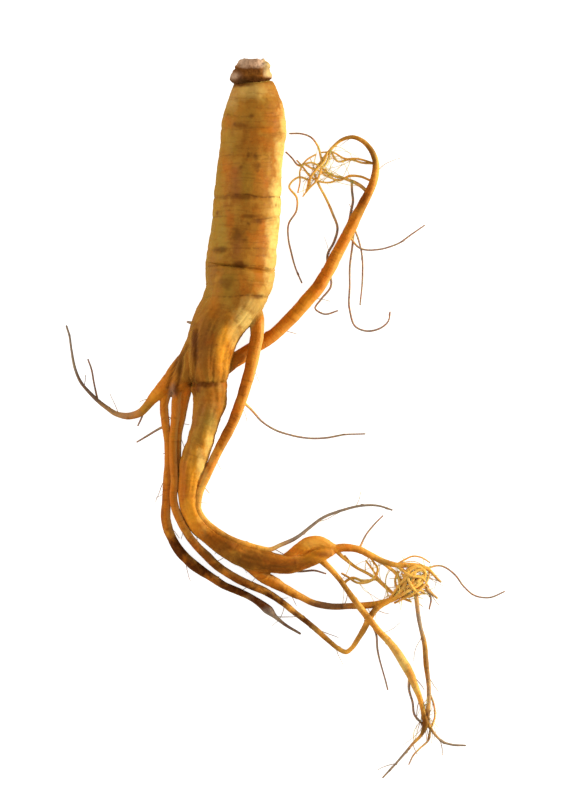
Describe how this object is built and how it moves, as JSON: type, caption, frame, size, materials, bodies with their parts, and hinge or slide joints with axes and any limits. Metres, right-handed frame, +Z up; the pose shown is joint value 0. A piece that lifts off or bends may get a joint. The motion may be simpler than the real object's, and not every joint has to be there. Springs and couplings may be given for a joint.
{
  "type": "ginseng root",
  "caption": "Fresh ginseng root lying on its side, with a ringed taproot, a rhizome stub at its head, a bent leg and trailing lateral roots and rootlets.",
  "frame": {"origin": "on the surface that the root lies on, under the middle of its length and breadth", "axes": "+Z up from that surface, +Y along the root towards its head, +X to the right, where the right lateral root lies"},
  "size_m": [0.1467, 0.2396, 0.0225],
  "materials": {
    "root_skin": "Fresh root skin, washed: warm ochre brown with darker ring wrinkles and scars, paler and more orange on the rootlets, half matt."
  },
  "bodies": {
    "root": {"ginseng_root": "root_skin"}
  },
  "joints": []
}
